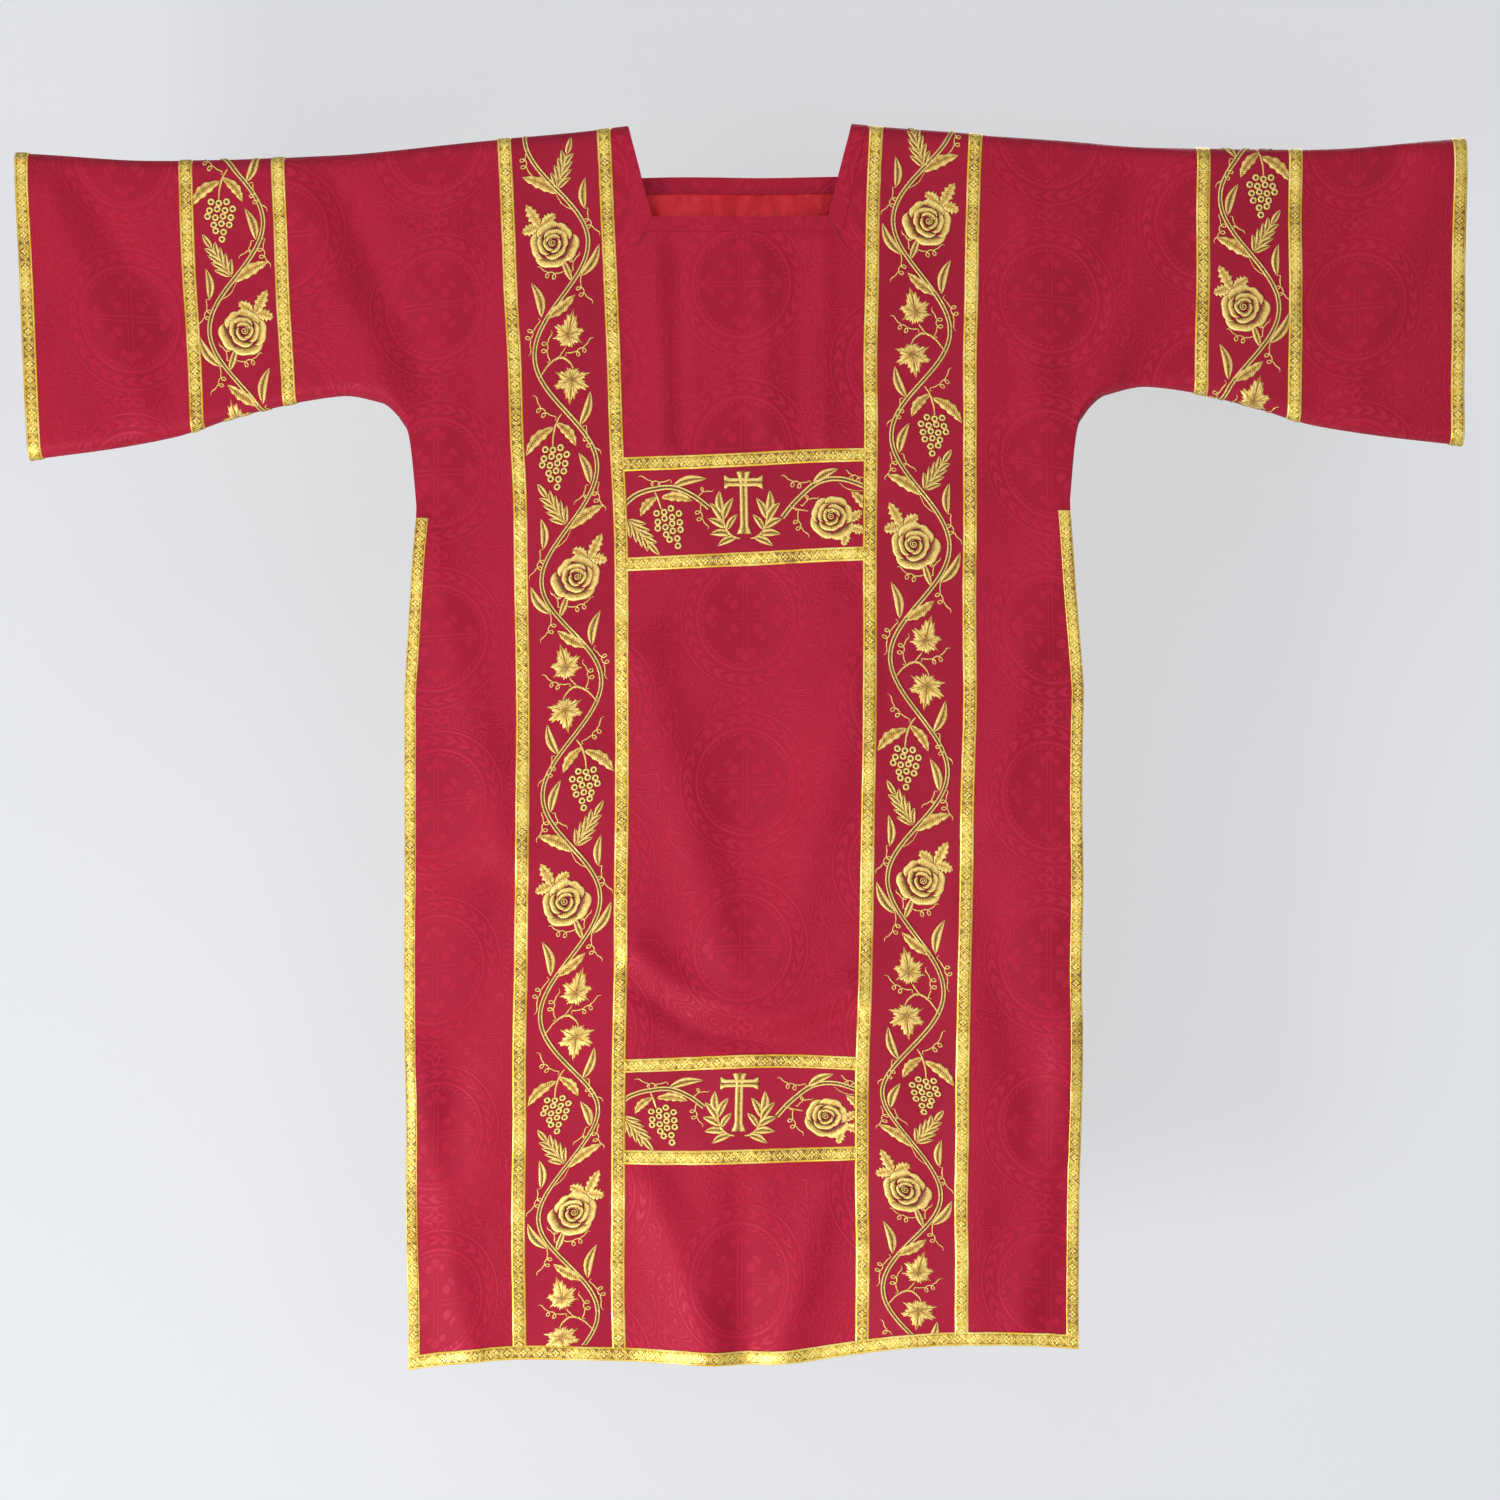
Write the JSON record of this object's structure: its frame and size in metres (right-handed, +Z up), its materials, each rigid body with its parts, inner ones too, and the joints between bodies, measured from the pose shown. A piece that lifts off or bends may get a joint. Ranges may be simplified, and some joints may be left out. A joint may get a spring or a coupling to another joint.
{
  "type": "dalmatic vestment",
  "caption": "Wide-sleeved T-cut church vestment of patterned silk with gold woven trims, embroidered strips and bands, open side slits and a square neck, shown hung flat.",
  "frame": {"origin": "centre line, middle plane between front and back, level with the shoulder tops beside the neck opening", "axes": "+Z up, front of the garment faces -Y, +X towards the wearer's left sleeve"},
  "size_m": [1.5341, 0.0338, 1.3191],
  "materials": {
    "damask": "woven silk damask, soft sheen",
    "lining": "bright red satin",
    "orphrey": "plain red silk ground for embroidery",
    "galloon": "metallic gold woven braid",
    "embroidery": "raised gold thread"
  },
  "bodies": {
    "torso": {"back_hem_galloon": "galloon", "back_left_clavus": "orphrey", "back_left_clavus_inner_galloon": "galloon", "back_left_clavus_outer_galloon": "galloon", "back_left_slit_galloon": "galloon", "back_lining": "lining", "back_lower_band": "orphrey", "back_lower_band_low_galloon": "galloon", "back_lower_band_top_galloon": "galloon", "back_lower_cross": "embroidery", "back_neck_facing": "damask", "back_panel": "damask", "back_right_clavus": "orphrey", "back_right_clavus_inner_galloon": "galloon", "back_right_clavus_outer_galloon": "galloon", "back_right_slit_galloon": "galloon", "back_upper_band": "orphrey", "back_upper_band_low_galloon": "galloon", "back_upper_band_top_galloon": "galloon", "back_upper_cross": "embroidery", "front_hem_galloon": "galloon", "front_left_clavus": "orphrey", "front_left_clavus_inner_galloon": "galloon", "front_left_clavus_outer_galloon": "galloon", "front_left_slit_galloon": "galloon", "front_lining": "lining", "front_lower_band": "orphrey", "front_lower_band_low_galloon": "galloon", "front_lower_band_top_galloon": "galloon", "front_lower_cross": "embroidery", "front_neck_facing": "damask", "front_panel": "damask", "front_right_clavus": "orphrey", "front_right_clavus_inner_galloon": "galloon", "front_right_clavus_outer_galloon": "galloon", "front_right_slit_galloon": "galloon", "front_upper_band": "orphrey", "front_upper_band_low_galloon": "galloon", "front_upper_band_top_galloon": "galloon", "front_upper_cross": "embroidery", "left_sleeve_fold": "damask", "right_sleeve_fold": "damask"},
    "left_sleeve": {"left_cuff_galloon": "galloon", "left_sleeve_back": "damask", "left_sleeve_front": "damask", "left_sleeve_inner_galloon": "galloon", "left_sleeve_lining": "lining", "left_sleeve_orphrey": "orphrey", "left_sleeve_outer_galloon": "galloon"},
    "right_sleeve": {"right_cuff_galloon": "galloon", "right_sleeve_back": "damask", "right_sleeve_front": "damask", "right_sleeve_inner_galloon": "galloon", "right_sleeve_lining": "lining", "right_sleeve_orphrey": "orphrey", "right_sleeve_outer_galloon": "galloon"}
  },
  "joints": [
    {"name": "left_sleeve_swing", "type": "hinge", "parent": "torso", "child": "left_sleeve", "pos_m": [0.365, 0, -0.15], "axis": [0, 0, -1], "range_deg": [-40, 90], "deforming": ["left_sleeve_fold"]},
    {"name": "right_sleeve_swing", "type": "hinge", "parent": "torso", "child": "right_sleeve", "pos_m": [-0.365, 0, -0.15], "axis": [0, 0, 1], "range_deg": [-40, 90], "deforming": ["right_sleeve_fold"]}
  ]
}
